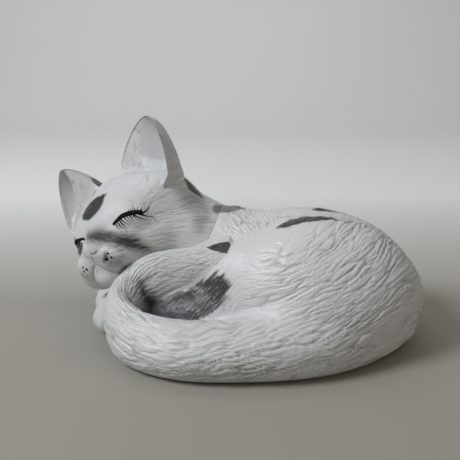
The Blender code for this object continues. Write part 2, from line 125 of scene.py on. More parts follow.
# Painted marks, some grey paint and some painted shade: points along each mark and its half width there
MARKS = {
    "forehead": ((-109.7, 11.7, 76.6, 6.0), (-104.7, 13.5, 80.4, 5.0), (-98.5, 17.4, 86.6, 0.4)),
    # Grey band along the lower edge of the brow: part grey paint, part painted shade beneath the brow and
    # cheek ridge
    "brow_smudge_and_shade": ((-104.5, -9.5, 66.4, 3.2), (-99, -11.1, 67.4, 4.8), (-92.6, -13.5, 67.4, 5.2),
               (-85.1, -16, 66.6, 5.2), (-78.3, -15.1, 64.2, 5.2), (-72.7, -13.7, 61.7, 3.8),
               (-68, -12.4, 59.5, 1.4)),
    # Painted shade: soft grey beneath the near eye's lower lid
    "under_lid_shade": ((-88.3, -9.6, 73.3, 2.2), (-85.7, -10.3, 73.5, 2.8), (-82.2, -10.1, 74.1, 2.6),
                  (-78.1, -9.2, 76.3, 1.2)),
    # Far eye: dark eye paint, partly painted shade behind the bridge of the nose
    "far_eye": ((-116.5, 8.4, 57.8, 1.8), (-112.8, -0.7, 57.6, 2.6), (-112.4, -3.1, 55.2, 2.3),
                (-111.5, -6, 53, 1.0)),
    # Grey beside the near whisker spots: part grey paint, part painted shade on the pad
    "pad": ((-92.9, -22.4, 60.6, 1.9), (-92.7, -23.4, 58.4, 2.6), (-93.5, -23.3, 56.2, 2.0)),
    "nape": ((-28.5, 19.5, 76.2, 3.4), (-19.1, 21.2, 76.1, 2.8), (-10, 27.4, 74.8, 0.3)),
    "behind_ear": ((-49, 25, 94, 0.5), (-43.8, 22, 88.2, 1.9), (-37.5, 21, 82.5, 0.4)),
    "far_ear": ((-117.6, 43, 95.4, 0.5), (-112.5, 40, 92.2, 1.2), (-108.2, 37, 89.8, 1.9),
                (-105.5, 36, 88.4, 2.0)),
    "crest": ((6.5, -16.5, 73.9, 0.4), (12, -15, 75.6, 1.5), (19, -13.2, 77.3, 2.1), (27.9, -12, 78.4, 1.9),
              (38.4, -12.5, 78.8, 1.0), (47.5, -16.8, 77.7, 0.2)),
    "spine": ((32, 16.5, 76.3, 0.5), (36, 16.4, 76.5, 1.3), (42, 15.7, 75.8, 1.0), (50, 16.6, 74.6, 0.3)),
    "sliver": ((9, 24, 76.8, 0.2), (16, 24, 77.2, 0.6), (22.5, 22, 77.4, 0.2)),
    "tip": ((-21.8, -16.8, 62.2, 3.6), (-27, -16, 62, 2.6), (-34, -14.6, 61.4, 0.3)),
    "flank": ((-58, -25, 29.5, 5.0), (-47, -27, 33.5, 7.5), (-36, -28, 38, 8.6), (-26.5, -30, 44.5, 6.5)),
    "flank_low": ((-42, -30, 29, 6.0), (-33, -33, 32.5, 6.0), (-26, -33.5, 39, 4.5)),
    # Painted shade on the neck where it turns away towards the shoulder
    "neck": ((-52.6, 10.8, 89.2, 3.0), (-45, 12.5, 84, 7.0), (-38.5, 10, 76.5, 7.0), (-39, 3, 68.5, 5.0)),
    # Lower muzzle: some grey paint, mostly painted shade under the ring of the tail
    "muzzle": ((-97, -22, 57, 3.0), (-91.3, -23.6, 57, 4.5), (-86, -22.5, 54.5, 4.0)),
    # The tail's pocket: painted shade down its inner wall and floor, darkest by the lip, with some grey paint
    "pocket": ((-73, -24, 43, 3.0), (-70.5, -24.2, 35, 4.5), (-61, -25, 25, 7.5), (-44, -31, 24, 6)),
}

# Brushwork of each piece: a mark's strength, the softness of its edge, and how far that follows the hair
BRUSHWORK = {
    "torso": {"spine": (1, 0.5, 0.3), "crest": (1, 0.7, 0.12), "sliver": (0.6, 0.5, 0),
              "nape": (0.75, 0.8, 0.4)},
    "haunch": {"crest": (1, 0.7, 0.07), "flank": (0.88, 2.2, 1), "flank_low": (0.82, 2.2, 1),
               # pocket: painted shade in the tail's pocket
               "pocket": (1.1, 3.0, 0.5)},
    "tail_tip": {"tip": (1, 0.6, 0.2)},
    "tail_pocket_shade": {"pocket": (0.9, 6.0, 0.4)},
    # On the head the smudge, under-lid, far-eye, pad, muzzle and neck marks are wholly or partly painted
    # shade
    "head": {"forehead": (1, 1.2, 0.6), "brow_smudge_and_shade": (0.92, 4.8, 0.8), "under_lid_shade": (0.55, 2.2, 1),
             "far_eye": (1, 1.8, 1), "pad": (0.9, 2.8, 0.3), "muzzle": (0.55, 3.2, 1), "neck": (0.58, 5, 0.6),
             "behind_ear": (0.9, 0.6, 0.6), "nape": (0.75, 0.8, 0.4)},
    "left_ear": {"behind_ear": (0.95, 0.6, 0)},
    "right_ear": {"far_ear": (0.95, 0.6, 0)},
}
# Depths at which the nape's mark is gone and full
NAPE_FADE = (36, 28)

# Grooves of the face on its left side, in the head's frame; the right side mirrors them
MOUTH = ((-1, 40.9, -20.5), (-3.2, 40.3, -22.6), (-5.9, 38.9, -25), (-7.9, 36.4, -26.8), (-9.1, 33.4, -27.8),
         (-9.1, 30.8, -28.8))
PHILTRUM = ((-1.5, 43.5, -15.6), (-1.1, 41.8, -18.7), (-1, 40.9, -20.5))
NOSTRIL = ((-2.7, 44.2, -13.6), (-4.7, 43.5, -14), (-6.4, 43.1, -13))
FAR_NOSTRIL = ((2.9, 44.1, -13.9), (1.5, 43.7, -15.1))
WRINKLES = (((-13.2, 41.5, -15.2), (-18.3, 35.6, -14)), ((-14.2, 40.8, -17.6), (-19, 35.2, -17.4)),
            ((-14, 40.8, -20.2), (-18.2, 35.2, -21)), ((-12.2, 40.8, -22.2), (-16.2, 35.6, -24)))

# Closed eye: each lid's line from the inner corner, and the left lashes as start, end and thickness
LID = {"left": ((-13.5, 31.6, 0.4), (-16.3, 30.1, 2.2), (-19.5, 28.9, 3.7), (-23, 27.6, 4.1),
                (-25.8, 25.8, 3.9), (-28.1, 23.6, 3.3), (-29.3, 21.5, 2.7)),
       "right": ((9.5, 34.2, -1.6), (12.3, 32.3, -0.2), (18.4, 29.8, 0.9), (23.5, 27.6, 1.6),
                 (27.2, 24.5, 1.4))}
# Thickness of each lid line; a lash's sag and its taper, as shares of its length and width
LID_FULLNESS = {"left": 1.0, "right": 0.8}
LASH_SAG = 0.07
LASH_TAPER = 0.8
LASHES = ((-25, 26.4, 4.2, -24.6, 25.4, 7.0, 0.6), (-26.2, 25.5, 4.1, -25.2, 24.1, 8.3, 0.6),
          (-27, 24.7, 3.9, -26.1, 23.7, 7.6, 0.6), (-28.3, 23.2, 3.4, -29, 19.8, 6.4, 1.0),
          (-24.2, 26.9, 4.6, -23.5, 26.2, 7.3, 0.5), (-27.7, 23.9, 3.8, -27.3, 22.2, 7.1, 0.6),
          (-29.1, 22.2, 2.1, -30.7, 15.5, 5.7, 1.5), (-28.2, 23.7, 2.2, -31.1, 15.5, -0.6, 1.4),
          (-25.9, 26.1, 2.4, -29.3, 20.3, -1.7, 1.2), (-31, 15.7, -0.5, -32.6, 13.4, -4.4, 0.3),
          (-24.6, 26.9, 2.8, -27.3, 23.9, -1.3, 0.7), (-23.7, 27.5, 2.9, -25.4, 26.1, -0.7, 1.0),
          (-22.2, 28.2, 2.9, -24.2, 27, -0.6, 0.9), (-20.8, 28.8, 2.7, -22.9, 27.8, -0.9, 1.0),
          (-19.1, 29.5, 2.1, -21.6, 28.5, -1.8, 0.9), (-18.3, 29.9, 1.8, -20.2, 29, -2.9, 0.6),
          (-17.8, 30.2, 1.5, -21.6, 29.2, -5.2, 0.6), (-16.6, 30.6, 0.9, -18.4, 30.8, -3.6, 0.6),
          (-17, 30.8, 0.8, -21.2, 30.1, -6.3, 0.6), (-15.8, 31.6, 0.3, -19.2, 32.3, -5.7, 0.5),
          (-15.3, 31.4, 0.2, -16.5, 32.5, -2.8, 0.5))
FAR_LASH_SHIFT = (0, 0, -2.2)

# Whisker spots: place in the head's frame and radius
WHISKER_SPOTS = ((-11.3, 42.3, -19.6, 1.0), (-13.8, 41, -19.2, 0.7), (-12.9, 41.7, -16.6, 0.75),
                 (6.4, 42.3, -20.5, 0.9), (8.1, 42.9, -18.7, 0.7), (8.9, 42.2, -21, 0.7))

# Paint, felt, floor and light
WHITE = "#D8D9DA"
WHITE_WORN = "#BDBBB6"
# Grey wash in the grooves: part real wash, part painted shade in the carving
GROOVE_WASH_AND_SHADE = "#6C675D"
GREY = "#3A393B"
LASH = "#121110"
LASH_THIN = "#1E1C1A"
FELT = "#2A2826"
FELT_FIBRE = "#3D3A37"
FLOOR = "#9E9A92"
FLOOR_CLOUD = "#A5A199"
WALL = "#EDEEEE"
DAYLIGHT = "#F6FAFF"
LAMPLIGHT = "#FFF3E0"
PLAIN_LIGHT = "#FFFFFF"
ROOM = "#DFDBD2"


def vec(*values):
    """Numbers as an array."""
    return np.array(values, float)


def unit(values):
    """Vectors over their length."""
    values = np.asarray(values, float)
    return values / np.linalg.norm(values, axis=-1, keepdims=True)


def ease(low, high, value):
    """A smooth step from 0 at low to 1 at high."""
    share = np.clip((value - low) / (high - low), 0, 1)
    return share * share * (3 - 2 * share)


def ellipsoid(points, centre, half):
    """Approximate distance to an ellipsoid: its scaled radius less one, over the slope of that radius."""
    offset = (points - vec(*centre)) / vec(*half)
    near = np.linalg.norm(offset, axis=-1)
    return near * (near - 1) / (np.linalg.norm(offset / vec(*half), axis=-1) + 1e-9)


def blend(distances, softness):
    """Soft union: minus the logarithm of summed exponentials of minus the distances."""
    least = np.min(distances, axis=0)
    return least - softness * np.log(sum(np.exp((least - d) / softness) for d in distances))


def torso_field(points):
    """Soft union of the torso's masses."""
    return blend([ellipsoid(points, *m) for m in TORSO_MASSES], BODY_SOFTNESS)


def haunch_field(points):
    """Soft union of the haunch's masses."""
    return blend([ellipsoid(points, *m) for m in HAUNCH_MASSES], BODY_SOFTNESS)


def head_axes():
    """Right, forward and up of the head after its turn, tip and roll."""
    turn, tip, roll = np.radians(HEAD_ANGLES)
    ahead, above = vec(-np.sin(turn), -np.cos(turn), 0), vec(0, 0, 1)
    right = np.cross(ahead, above)
    up = above * np.cos(tip) + ahead * np.sin(tip)
    return np.stack([right * np.cos(roll) - up * np.sin(roll), ahead * np.cos(tip) - above * np.sin(tip),
                     up * np.cos(roll) + right * np.sin(roll)])


HEAD_AXES = head_axes()


def from_head(points):
    """Places in the head's frame, in the part's frame."""
    return vec(*HEAD_CENTRE) + np.asarray(points, float) @ HEAD_AXES


def to_head(points):
    """Places in the part's frame, in the head's frame."""
    return (points - vec(*HEAD_CENTRE)) @ HEAD_AXES.T


def head_field(points):
    """Skull and neck joined softly, then the face joined to them more crisply."""
    local = to_head(points)
    skull = [ellipsoid(local, *m) for m in SKULL_MASSES] + [ellipsoid(points, *m) for m in NECK_MASSES]
    return blend([blend(skull, SKULL_SOFTNESS)] + [ellipsoid(local, *m) for m in FACE_MASSES], FACE_SOFTNESS)


def paw_field(points, place):
    """Wrist and forearm with four toes in an arc at the front."""
    place = vec(*place)
    high = PAW_TOP - place[2]
    parts = [ellipsoid(points, place, (PAW_LENGTH / 2, PAW_WIDTH / 2, high)),
             ellipsoid(points, place + vec(FOREARM_REACH, 4, 0), (FOREARM_LENGTH / 2, PAW_WIDTH / 2, high))]
    for turn in np.radians([-48, -16, 16, 48]):
        toe = vec(-np.cos(turn) * PAW_LENGTH * 0.40, np.sin(turn) * PAW_WIDTH * 0.42, -PAW_TOP * 0.18)
        parts.append(ellipsoid(points, place + toe, (TOE_WIDTH * 0.62, TOE_WIDTH / 2, TOE_WIDTH * 0.75)))
    return blend(parts, 1.5)


def reach(centre, directions, field, longest=150.0):
    """Where each ray from the centre leaves the field, by halving the interval."""
    low = np.zeros(directions.shape[:-1])
    high = np.full(directions.shape[:-1], longest)
    for _ in range(19):
        middle = (low + high) / 2
        inside = field(centre + directions * middle[..., None]) < 0
        low, high = np.where(inside, middle, low), np.where(inside, high, middle)
    return centre + directions * low[..., None]


def curve(points, steps):
    """Catmull-Rom curve through the points, read at even parameters."""
    points = np.asarray(points, float)
    points = np.vstack([2 * points[0] - points[1], points, 2 * points[-1] - points[-2]])
    place = np.linspace(0, len(points) - 3 - 1e-9, steps)
    first = place.astype(int)
    share = (place - first)[:, None]
    a, b, c, d = (points[first + i] for i in range(4))
    return 0.5 * (2 * b + (c - a) * share + (2 * a - 5 * b + 4 * c - d) * share ** 2
                  + (3 * b - a - 3 * c + d) * share ** 3)


def tail_line(steps):
    """Centre line, half height and half width of the tail; its lying stretch is sunk into the base plane."""
    route = curve(TAIL_ROUTE, steps)
    tall = route[:, 3] * TAIL_THICK / 2
    middle = np.column_stack([route[:, :2], BASE + tall * (1 - TAIL_SINK) + route[:, 2]])
    return middle, tall, tall * route[:, 4]


TAIL_SECTIONS = np.column_stack(tail_line(TAIL_SECTION_COUNT))


def tail_field(points):
    """Scaled radius from the tail's centre line, taken upright and level, less one, times the half width:
    the least of all sections, blended by the logarithm of their summed exponentials, less the gain from
    the sections that meet at a point."""
    flat = points.reshape(-1, 3)
    total = np.zeros(len(flat))
    for x, y, z, tall, wide in TAIL_SECTIONS:
        level = ((flat[:, 0] - x) ** 2 + (flat[:, 1] - y) ** 2) / wide ** 2
        radius = np.sqrt(level + ((flat[:, 2] - z) / tall) ** 2)
        total += np.exp(-TAIL_SECTION_BLEND * wide * (radius - 1))
    least = -np.log(np.maximum(total / TAIL_SECTIONS_MET, 1e-300)) / TAIL_SECTION_BLEND
    return least.reshape(points.shape[:-1])


def scatter(i, j, salt):
    """Repeatable scatter in 0..1 for whole-number cells."""
    value = np.sin(i * 127.1 + j * 311.7 + salt * 74.7) * 43758.5453
    return value - np.floor(value)


def ripple(x, y, salt):
    """Smooth noise, -1..1: scattered corner values blended across each unit cell."""
    i, j = np.floor(x), np.floor(y)
    u, v = x - i, y - j
    u, v = u * u * (3 - 2 * u), v * v * (3 - 2 * v)
    low = scatter(i, j, salt) * (1 - u) + scatter(i + 1, j, salt) * u
    high = scatter(i, j + 1, salt) * (1 - u) + scatter(i + 1, j + 1, salt) * u
    return 2 * (low * (1 - v) + high * v) - 1


def cells(along, across, salt):
    """Second least distance to scattered cell centres less the least one: 0 on the border of two cells."""
    i0, j0 = np.floor(along), np.floor(across)
    first = np.full(along.shape, 9.0)
    second = first.copy()
    for i in (-1, 0, 1):
        for j in (-1, 0, 1):
            x, y = i0 + i, j0 + j
            gap = np.hypot(along - x - scatter(x, y, salt), across - y - scatter(x, y, salt + 1))
            second = np.minimum(second, np.maximum(first, gap))
            first = np.minimum(first, gap)
    return second - first


def locks(kind, along, across):
    """Carved locks of hair, 0 in a groove to 1 on a crest: rounded cells drawn out along the hair and waved
    across it, some worn away, with finer cells on them and low lumps beneath."""
    length, width, salt, wave = HAIR[kind]
    along, across = along / length, across / width
    waved = across + wave * (1.1 * ripple(along * 0.9, across * 0.22, salt + 5)
                             + 0.5 * ripple(along * 2.3, across * 0.5, salt))
    worn = np.clip(0.25 - 0.75 * ripple(along * 1.1, waved * 0.45, salt + 4), 0, 0.8)
    broad = worn + (1 - worn) * (1 - (1 - np.clip(cells(along, waved, salt) / 0.45, 0, 1)) ** 2)
    fine = 1 - (1 - np.clip(cells(along * 1.3, waved * 2.3, salt + 7) / 0.5, 0, 1)) ** 2
    lump = ripple(along * 0.7, waved * 0.4, salt + 3)
    return np.clip(0.58 * broad + 0.30 * fine + 0.10 + 0.18 * lump, 0, 1.1)


def grid_normals(rings):
    """Unit normals of a grid that closes round its second axis, from central differences."""
    down = np.gradient(rings, axis=0)
    round_ = np.roll(rings, -1, axis=1) - np.roll(rings, 1, axis=1)
    normal = np.cross(round_, down)
    return normal / (np.linalg.norm(normal, axis=-1, keepdims=True) + 1e-12)


def outward(rings, inside):
    """Grid normals turned away from a point inside."""
    normal = grid_normals(rings)
    return normal * np.sign(np.sum(normal * (rings - inside), axis=-1).mean())


def swell(points, normals, neighbour, width):
    """Round off the crease against a neighbour: points within width of it move out along their normal by
    (width - distance) squared over two widths, times how sharply the two surfaces meet; inside the
    neighbour the distance counts two and a half times."""
    away = neighbour(points)
    slope = np.clip((neighbour(points + normals * 0.5) - away) / 0.5, -0.5, 1)
    sharp = np.clip((np.sqrt(2 / (1 + slope)) - 1) / 0.414, 0, 1.5)
    close = np.clip(width - np.maximum(away, -2.5 * away), 0, None)
    return points + normals * (sharp * close ** 2 / (2 * width))[..., None]


def brushed(points, mark, soft, wobble):
    """A painted mark: 1 within the half width of a line, fading over soft at its edge; distances are
    taken across the brush, with only a twelfth of those along it."""
    side = vec(*BRUSH_SIDE)
    line = curve(MARKS[mark], 36)
    along = BRUSH_FLAT * side
    flat = points - (points @ side)[..., None] * along
    line[:, :3] -= (line[:, :3] @ side)[:, None] * along
    least = np.full(points.shape[:-1], 1e9)
    for place in line:
        least = np.minimum(least, np.linalg.norm(flat - place[:3], axis=-1) - place[3])
    return 1 - ease(-soft, soft, least + wobble)


def painted(points, piece, edge):
    """All the marks of a piece: the strongest at each point, with the nape's faded towards the back."""
    patch = np.zeros(points.shape[:-1])
    for mark, (strength, soft, rough) in BRUSHWORK[piece].items():
        cover = strength * brushed(points, mark, soft, rough * edge)
        patch = np.maximum(patch, cover * ease(*NAPE_FADE, points[..., 1]) if mark == "nape" else cover)
    return patch


def groove(points, path, width):
    """A knife groove along a path: the bell curve of the distance to it over its width."""
    least = np.full(points.shape[:-1], 1e9)
    for place in curve(path, 28):
        least = np.minimum(least, np.sum((points - place) ** 2, axis=-1))
    return np.exp(-least / width ** 2)


def both_sides(points, path, width):
    """The same groove on the left and right of the face."""
    turned = np.array(path) * vec(-1, 1, 1)
    return np.maximum(groove(points, on_head(path), width), groove(points, on_head(turned), width))


def add_mesh(name, rings, start, end, hair=None, marks=None):
    """A closed mesh through rings of points, each ended by a point; hair is kept as a UV map in
    centimetres and each mark as a named value at every point."""
    count, around = rings.shape[:2]
    index = np.arange(count * around).reshape(count, around)
    turned = np.roll(index, -1, axis=1)
    quads = np.stack([index[:-1], turned[:-1], turned[1:], index[1:]], -1).reshape(-1, 4)
    first, last = count * around, count * around + 1
    caps = np.concatenate([np.stack([turned[0], index[0], np.full(around, first)], -1),
                           np.stack([index[-1], turned[-1], np.full(around, last)], -1)])
    points = np.vstack([rings.reshape(-1, 3), start, end])
    a, b, c, d = (points[quads[:, i]] for i in range(4))
    volume = np.sum(np.cross(a, b) * c) + np.sum(np.cross(a, c) * d)
    if volume < 0:
        quads, caps = quads[:, ::-1], caps[:, ::-1]
    mesh = bpy.data.meshes.new(name)
    mesh.from_pydata((points * MM).tolist(), [], quads.tolist() + caps.tolist())
    mesh.shade_smooth()
    corners = np.empty(len(mesh.loops), int)
    mesh.loops.foreach_get("vertex_index", corners)
    if hair is not None:
        flat = np.column_stack([np.append(h.ravel(), [h[0].mean(), h[-1].mean()]) for h in hair]) / 10
        mesh.uv_layers.new(name="hair").data.foreach_set("uv", flat[corners].ravel())
    for key, value in (marks or {}).items():
        filled = np.append(value.ravel(), [value[0].mean(), value[-1].mean()])
        mesh.attributes.new(key, "FLOAT", "POINT").data.foreach_set("value", filled)
    made = bpy.data.objects.new(name, mesh)
    bpy.context.scene.collection.objects.link(made)
    return made


def dome_rings(field, centre, around, rows, dense, gather):
    """A mass on the base plane: rows of elevation by azimuth about a centre on that plane, with the
    azimuths gathered towards the side that shows."""
    turn = np.linspace(0, TAU, around, endpoint=False)
    azimuth = (turn - gather * np.sin(turn - np.radians(dense)))[None, :]
    elevation = np.linspace(0, np.pi / 2 * 0.996, rows)[:, None]
    directions = np.stack([np.cos(azimuth) * np.cos(elevation), np.sin(azimuth) * np.cos(elevation),
                           np.sin(elevation) + 0 * azimuth], -1)
    middle = vec(*centre, BASE)
    return reach(middle, directions, field), middle


def stand(rings):
    """Keep a casting on its base plane."""
    rings[..., 2] = np.maximum(rings[..., 2], BASE)
    return rings


def rough_edge(hair, salt, size):
    """Uneven brush edges that follow the hair: broad and fine ripples drawn out along it, times a size."""
    broad = ripple(hair[0] / 12, hair[1] / 1.3, salt)
    return size * (broad + 0.5 * ripple(hair[0] / 6, hair[1] / 0.6, salt + 1))


def tail_width(points):
    """How widely the tail and haunch run together: a crisp lip by the pocket, a long blend at the rump."""
    return 4 + 20 * ease(-20, 45, points[..., 0])


def seam(points, neighbour):
    """Carving dies away at the crease with a neighbour round the pocket: 1 elsewhere."""
    return 1 - 0.9 * ease(5, 0.5, np.abs(neighbour(points))) * ease(15, -10, points[..., 0])


def crease(points, neighbour):
    """Carving dies away where two castings meet: 1 elsewhere."""
    return 1 - 0.9 * ease(4, 0.5, np.abs(neighbour(points)))


def rump_depth(points):
    """How boldly thigh and rump are carved."""
    return 0.65 + 0.95 * ease(-15, 50, points[..., 0])


def body_width(points):
    """How widely the haunch and the back run together: a valley by the shoulder, a long blend behind it."""
    return 4 + 10 * ease(-2, 26, points[..., 0])


def rump_hair(points, turned=1.0):
    """Hair that sweeps up and back over thigh and rump: distances along and across it, each a cubic of the
    place to the right and the way up over the back, and straight up and back on the flank."""
    right = points[..., 0]
    behind = points @ vec(*BRUSH_SIDE) + 38
    up = points @ vec(*BRUSH_UP) + 0.25 * (behind + np.hypot(behind, 10))
    a, o = right / 60, (up - 12) / 40
    along = (55.4 + 12 * o + 2.6 * o ** 2) * a - (3.1 + 8.6 * o) * a ** 2 + (13.3 + 2 * o - 0.9 * o ** 2) * o
    across = ((31.9 - 5.8 * o - 0.4 * o ** 2) * o - (15.7 - 2.6 * o - 4.8 * o ** 2) * a
              - (8.4 + 7.7 * o) * a ** 2 + 3.4 * a ** 3)
    flank = turned * ease(-8, -24, right)
    return (along * (1 - flank) + (0.71 * (right + up) - 17.7) * flank,
            1.3 * across * (1 - flank) + (0.71 * (up - right) - 10.8) * flank)


def rump_locks(points, turned=1.0):
    """Locks carved along the rump's hair."""
    return locks("rump", *rump_hair(points, turned))


def carve(rings, normal, deep, carved):
    """Cut the hair in: each point moves along its normal by the depth times its height on a lock."""
    return rings + normal * (deep * (carved - CREST_LEVEL))[..., None]


def make_torso():
    """Back, shoulder and chest: soft union of three masses; hair runs back along the spine, and curls down
    over the shoulder in short crescents."""
    rings, middle = dome_rings(torso_field, (11, 10), 430, 205, 90, 0.45)
    rings = swell(rings, outward(rings, middle), haunch_field, body_width(rings))
    rings = swell(rings, outward(rings, middle), tail_field, 2 + 12 * ease(5, 40, rings[..., 0]))
    rings = swell(rings, outward(rings, middle), head_field, 5)
    normal = outward(rings, middle)
    x, y, z = np.moveaxis(rings, -1, 0)
    hair = (x, 48 * (np.arctan2(z - 18, y - 12) - np.pi / 2))
    right, over = x + 12, rings @ vec(*BRUSH_UP) - 72
    curl = 0.77 * right + 0.64 * over + 0.011 * right ** 2 - 0.014 * right * over
    shoulder = ease(14, 2, x)
    rump = ease(48, 80, x) * ease(24, 0, y)
    crescents = locks("shoulder", 0.64 * right - 0.77 * over, curl)
    carved = crescents * shoulder + locks("back", *hair) * (1 - shoulder)
    carved = carved * (1 - rump) + rump_locks(rings) * rump
    deep = (0.9 + 0.5 * shoulder + 0.6 * ease(20, 70, x)) * ease(BASE + 1, BASE + 8, z)
    marks = {"patch": painted(rings, "torso", rough_edge(hair, 11, 1.2)), "crest": carved}
    rings = stand(carve(rings, normal, deep * crease(rings, head_field), carved))
    return add_mesh("torso_casting", rings, middle, rings[-1].mean(0), hair, marks)


def make_haunch():
    """Thigh, knee and hind foot: soft union of three masses; hair sweeps up and back, fine
    by the pocket and bold over the rump."""
    rings, middle = dome_rings(haunch_field, (20, -15), 470, 205, 285, 0.45)
    rings = swell(rings, outward(rings, middle), torso_field, body_width(rings))
    rings = swell(rings, outward(rings, middle), tail_field, tail_width(rings))
    normal = outward(rings, middle)
    hair = rump_hair(rings)
    carved = rump_locks(rings)
    deep = rump_depth(rings) * ease(BASE + 1, BASE + 8, rings[..., 2]) * seam(rings, tail_field)
    marks = {"patch": painted(rings, "haunch", rough_edge(hair, 13, 3.0)), "crest": carved}
    rings = stand(carve(rings, normal, deep, carved))
    return add_mesh("haunch_casting", rings, middle, rings[-1].mean(0), hair, marks)


def make_tail():
    """An upright oval section carried along the tail's line and cut flat underneath. Its front stretch takes
    the rump's hair; long strokes, bold round the bend, then run to the tip."""
    steps, around = 560, 170
    line, tall, wide = (np.asarray(v)[:, None] for v in tail_line(steps))
    along = unit(np.gradient(line, axis=0))
    side = unit(np.cross(along, vec(0, 0, 1)))
    turn = np.linspace(0, TAU, around, endpoint=False)
    angle = (turn + 0.45 * np.cos(turn))[None, :]
    level, upright = np.cos(angle)[..., None] * side, np.sin(angle)[..., None] * vec(0, 0, 1)
    rings = line + wide[..., None] * level + tall[..., None] * upright
    normal = unit(level / wide[..., None] + upright / tall[..., None])
    rings = swell(rings, normal, haunch_field, tail_width(rings))
    rings = swell(rings, normal, torso_field, 14)
    normal = outward(rings, line)
    run = np.cumsum(np.linalg.norm(np.diff(line, axis=0, prepend=line[:1]), axis=-1))[:, None]
    low = ease(0.2, -0.7, np.sin(angle))
    hair = (run + 0 * angle, angle * 18 - 0.1 * run)
    share = np.linspace(0, 1, steps)[:, None]
    front = ease(0.45, 0.33, share)
    bold = ease(0.62, 0.48, share)
    own = locks("tail", *hair) * (1 - bold) + locks("tail_bend", *hair) * bold
    carved = own * (1 - front) + rump_locks(rings, 0.0) * front
    joined = front * ease(12, 2, np.abs(haunch_field(rings)))
    deep = (0.9 + 0.9 * bold + 0.6 * low) * (1 - joined) + rump_depth(rings) * joined
    deep = deep * ease(0.5, 5, rings[..., 2] - BASE) * seam(rings, haunch_field)
    edge = rough_edge(hair, 19, 1.2)
    tip = painted(rings, "tail_tip", edge) * ease(-20, -21.2, rings[..., 0])
    # The painted dark tip, and painted shade inside the pocket
    patch = np.maximum(tip, painted(rings, "tail_pocket_shade", edge)) * ease(0.50, 0.56, share)
    rings = stand(carve(rings, normal, deep, carved))
    start = line[0, 0] - along[0, 0] * wide[0] * 0.5
    end = line[-1, 0] + along[-1, 0] * wide[-1] * 0.8
    return add_mesh("tail_casting", rings, start, end, hair, {"patch": patch, "crest": carved})


def make_head():
    """Skull, face and neck: rays from the head's centre; hair runs back from the nose and ends clear of the
    pole at the nape, and knife grooves draw the mouth, nostrils and whisker wrinkles."""
    around, rows = 420, 225
    turn = np.linspace(0, TAU, around, endpoint=False)[None, :]
    polar = np.linspace(np.pi * 0.997, np.pi * 0.003, rows)[:, None]
    local = np.stack([np.sin(polar) * np.cos(turn), np.cos(polar) + 0 * turn,
                      np.sin(polar) * np.sin(turn)], -1)
    centre = vec(*HEAD_CENTRE)
    rings = reach(centre, local @ HEAD_AXES, head_field)
    rings = swell(rings, outward(rings, centre), torso_field, 5)
    normal = outward(rings, centre)
    hair = (34 * np.log(polar + 0.15) + 0 * turn, 34 * turn + 4 * ripple(4 * polar, 2 * turn, 2))
    carved = locks("head", *hair)
    back = ease(np.radians(24), np.radians(55), polar) + 0 * turn
    clear = ease(np.radians(175), np.radians(148), polar) + 0 * turn
    deep = (0.16 + 0.40 * back) * crease(rings, torso_field) * clear
    mouth = np.maximum(both_sides(rings, MOUTH, 0.8), groove(rings, on_head(PHILTRUM), 0.7))
    nostril = groove(rings, on_head(NOSTRIL), 0.7) + 0.5 * groove(rings, on_head(FAR_NOSTRIL), 0.9)
    wrinkle = sum(both_sides(rings, path, 0.55) for path in WRINKLES)
    patch = np.maximum(painted(rings, "head", rough_edge(hair, 29, 0.8)), 0.4 * wrinkle)
    patch = np.maximum(patch, np.maximum(0.45 * mouth, 0.85 * nostril))
    crest = np.clip(carved + 0.05 - 0.5 * wrinkle, 0, 1) * back + (1 - back) * (1 - 0.5 * wrinkle)
    crest = 1 - (1 - crest) * clear
    cut = 0.7 * mouth + 0.6 * nostril + 0.45 * wrinkle
    rings = carve(rings, normal, deep, carved) - normal * cut[..., None]
    marks = {"patch": patch, "crest": crest}
    return add_mesh("head_casting", rings, rings[0].mean(0), rings[-1].mean(0), hair, marks)


